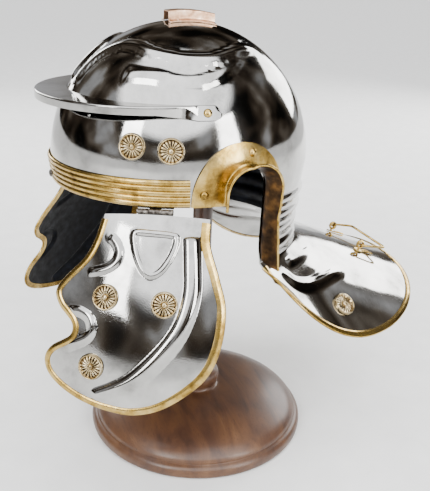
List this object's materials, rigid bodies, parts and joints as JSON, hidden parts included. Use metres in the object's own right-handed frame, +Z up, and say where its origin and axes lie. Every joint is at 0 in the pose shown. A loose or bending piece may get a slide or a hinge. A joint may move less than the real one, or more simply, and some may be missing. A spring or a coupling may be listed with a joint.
{
  "type": "roman legionary helmet on wooden display stand",
  "caption": "Polished steel Roman legionary helmet with brass trim, hinged cheek guards, wide neck guard and carrying handle, on a turned wooden display stand.",
  "frame": {"origin": "centre of the stand's flat foot on the surface it rests on", "axes": "+Z up, -Y towards the visor, +X towards the wearer's left"},
  "size_m": [0.291, 0.3674, 0.3974],
  "materials": {
    "steel": "mirror polished",
    "brass": "polished",
    "copper": "polished",
    "iron": "satin",
    "wood": "semi-gloss varnish"
  },
  "bodies": {
    "helmet": {"stand": "wood", "bowl": "steel", "neck_guard": "steel", "neck_trim": "brass", "brow_band": "brass", "visor": "steel", "visor_rivet_left": "brass", "visor_rivet_right": "brass", "ear_guard_left": "brass", "ear_guard_right": "brass", "ear_rivet_foot_left": "brass", "ear_rivet_foot_right": "brass", "ear_rivet_crown_left": "brass", "ear_rivet_crown_right": "brass", "bowl_rosette_front_left": "brass", "bowl_rosette_front_right": "brass", "bowl_rosette_back_left": "brass", "bowl_rosette_back_right": "brass", "neck_rosette_left": "brass", "neck_rosette_right": "brass", "brow_stud": "iron", "crest_holder": "copper", "handle_lug_left": "brass", "handle_lug_right": "brass", "hinge_leaf_left": "iron", "hinge_leaf_right": "iron"},
    "cheek_left": {"cheek_guard_left": "steel", "cheek_trim_left": "brass", "cheek_leaf_left": "iron", "cheek_rosette_front_left": "brass", "cheek_rosette_back_left": "brass", "cheek_rosette_low_left": "brass"},
    "cheek_right": {"cheek_guard_right": "steel", "cheek_trim_right": "brass", "cheek_leaf_right": "iron", "cheek_rosette_front_right": "brass", "cheek_rosette_back_right": "brass", "cheek_rosette_low_right": "brass"},
    "handle": {"handle": "brass"}
  },
  "joints": [
    {"name": "cheek_hinge_left", "type": "hinge", "parent": "helmet", "child": "cheek_left", "pos_m": [0.08826, -0.07164, 0.256], "axis": [-0.3985, -0.9172, 0], "range_deg": [-42, 50]},
    {"name": "cheek_hinge_right", "type": "hinge", "parent": "helmet", "child": "cheek_right", "pos_m": [-0.08826, -0.07164, 0.256], "axis": [-0.3985, 0.9172, 0], "range_deg": [-38, 54]},
    {"name": "handle_hinge", "type": "hinge", "parent": "helmet", "child": "handle", "pos_m": [0, 0.15631, 0.18164], "axis": [1, 0, 0], "range_deg": [-15, 110]}
  ]
}
